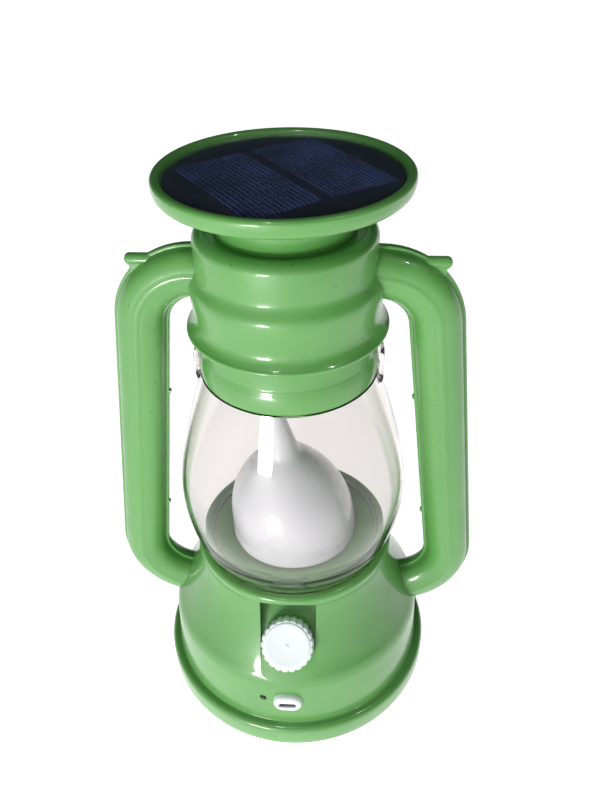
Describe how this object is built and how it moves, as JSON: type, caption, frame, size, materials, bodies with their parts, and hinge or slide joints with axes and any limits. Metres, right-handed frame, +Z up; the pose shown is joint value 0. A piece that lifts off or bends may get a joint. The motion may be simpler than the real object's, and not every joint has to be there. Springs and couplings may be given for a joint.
{
  "type": "solar lantern",
  "caption": "Hurricane-style solar lantern: domed base with dimmer knob and charging port, clear barrel globe, flame-shaped diffuser, two side arms and a round solar panel in a dish on top.",
  "frame": {"origin": "centre of the face the lantern stands on", "axes": "+Z up along the lantern's axis, front with the dimmer knob and charging port towards -Y, side arms along +X and -X"},
  "size_m": [0.1588, 0.125, 0.2394],
  "materials": {
    "green_plastic": "moulded, glossy, faintly speckled",
    "white_plastic": "moulded, satin",
    "diffuser_plastic": "frosted",
    "clear_plastic": "clear moulded polystyrene",
    "panel_black": "printed black",
    "cell_blue": "blue silicon",
    "panel_resin": "clear domed resin",
    "steel": "plated",
    "led_yellow": "phosphor",
    "led_lens": "clear lens",
    "board_white": "white solder mask",
    "board_green": "green solder mask",
    "black_plastic": "moulded",
    "shaft_nylon": "moulded nylon",
    "battery_sleeve": "shrink sleeve",
    "red_lead": "insulation",
    "grey_lead": "insulation"
  },
  "bodies": {
    "lantern": {"solar_dish": "green_plastic", "upper_housing": "green_plastic", "globe_collar": "green_plastic", "arm_left_front": "green_plastic", "arm_left_back": "green_plastic", "arm_right_front": "green_plastic", "arm_right_back": "green_plastic", "base_shell": "green_plastic", "base_bottom": "green_plastic", "port_bezel": "white_plastic", "diffuser": "diffuser_plastic", "globe": "clear_plastic", "panel_board": "panel_black", "solar_cells": "cell_blue", "panel_resin": "panel_resin", "dish_screws": "steel", "led_screws": "steel", "arm_screws": "steel", "base_screws": "steel", "dimmer_nut": "steel", "usb_socket": "steel", "board_screws": "steel", "battery_contacts": "steel", "leds": "led_yellow", "charge_led": "led_lens", "led_board": "board_white", "control_board": "board_green", "board_parts": "black_plastic", "battery_holder": "black_plastic", "dimmer_body": "black_plastic", "battery": "battery_sleeve", "panel_lead": "red_lead", "lamp_lead": "grey_lead"},
    "dimmer": {"knob": "white_plastic", "dimmer_shaft": "shaft_nylon"}
  },
  "joints": [
    {"name": "dimmer_turn", "type": "hinge", "parent": "lantern", "child": "dimmer", "pos_m": [0, -0.04493, 0.05102], "axis": [0, -0.788, 0.6157], "range_deg": [-300, 0]}
  ]
}
